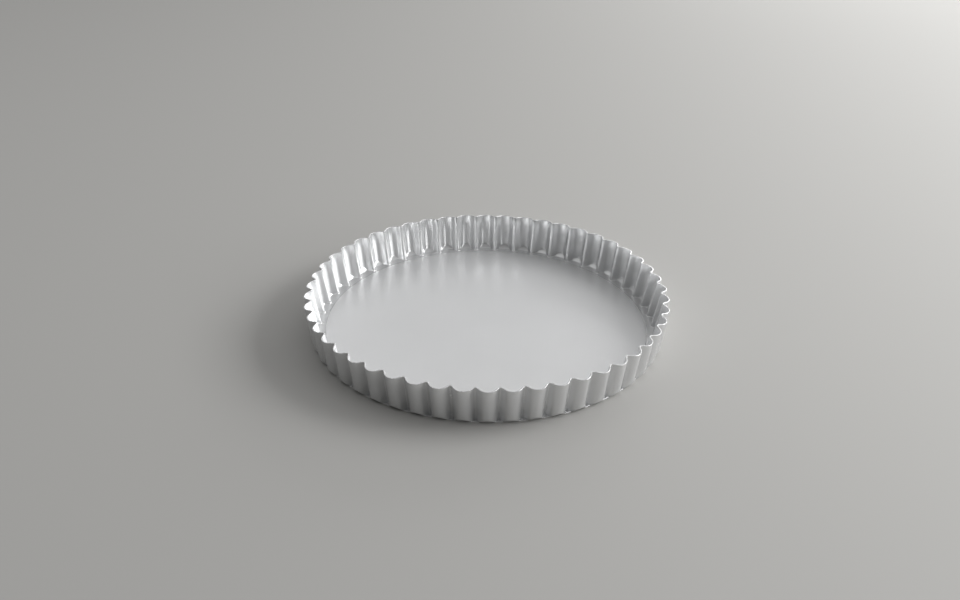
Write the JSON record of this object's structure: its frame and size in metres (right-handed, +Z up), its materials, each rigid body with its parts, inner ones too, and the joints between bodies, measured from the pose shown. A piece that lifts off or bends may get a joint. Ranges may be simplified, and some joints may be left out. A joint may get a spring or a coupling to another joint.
{
  "type": "tart pan",
  "caption": "Round fluted tart pan: a flared, fluted sheet-metal ring with a narrow inward ledge, and a flat loose base that rests on it.",
  "frame": {"origin": "middle of the pan, on the surface that it stands on", "axes": "+Z up out of the pan along its round axis; the ring's outward flutes are centred on +X and -X"},
  "size_m": [0.244, 0.2436, 0.0264],
  "materials": {
    "ring_aluminium": "satin anodised",
    "base_aluminium": "satin anodised"
  },
  "bodies": {
    "ring": {"fluted_ring": "ring_aluminium"},
    "base": {"loose_base": "base_aluminium"}
  },
  "joints": [
    {"name": "base_lift", "type": "slide", "parent": "ring", "child": "base", "axis": [0, 0, 1], "range_m": [0, 0.05]}
  ]
}
